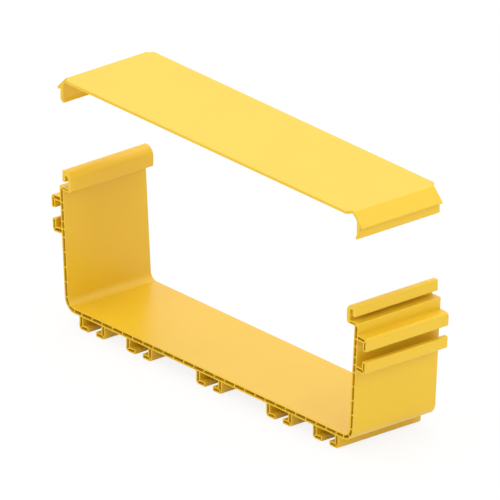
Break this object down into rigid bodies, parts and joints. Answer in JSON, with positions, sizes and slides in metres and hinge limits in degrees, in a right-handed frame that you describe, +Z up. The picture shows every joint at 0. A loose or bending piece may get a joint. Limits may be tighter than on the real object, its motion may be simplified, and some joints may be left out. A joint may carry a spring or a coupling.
{
  "type": "fibre raceway fitting",
  "caption": "Short straight length of wide fibre cable raceway: a hollow-wall U channel with T-slot rails under its floor and on its sides, and its snap cover held above it.",
  "frame": {"origin": "under the middle of the channel, on the plane that the undersides of its rails stand on", "axes": "+X across the raceway from wall to wall, +Y along the run, +Z up out of the trough"},
  "size_m": [0.3374, 0.0792, 0.1825],
  "materials": {
    "yellow_pvc": "satin extruded rigid plastic, yellow"
  },
  "bodies": {
    "root": {"raceway_channel": "yellow_pvc", "snap_cover": "yellow_pvc"}
  },
  "joints": []
}
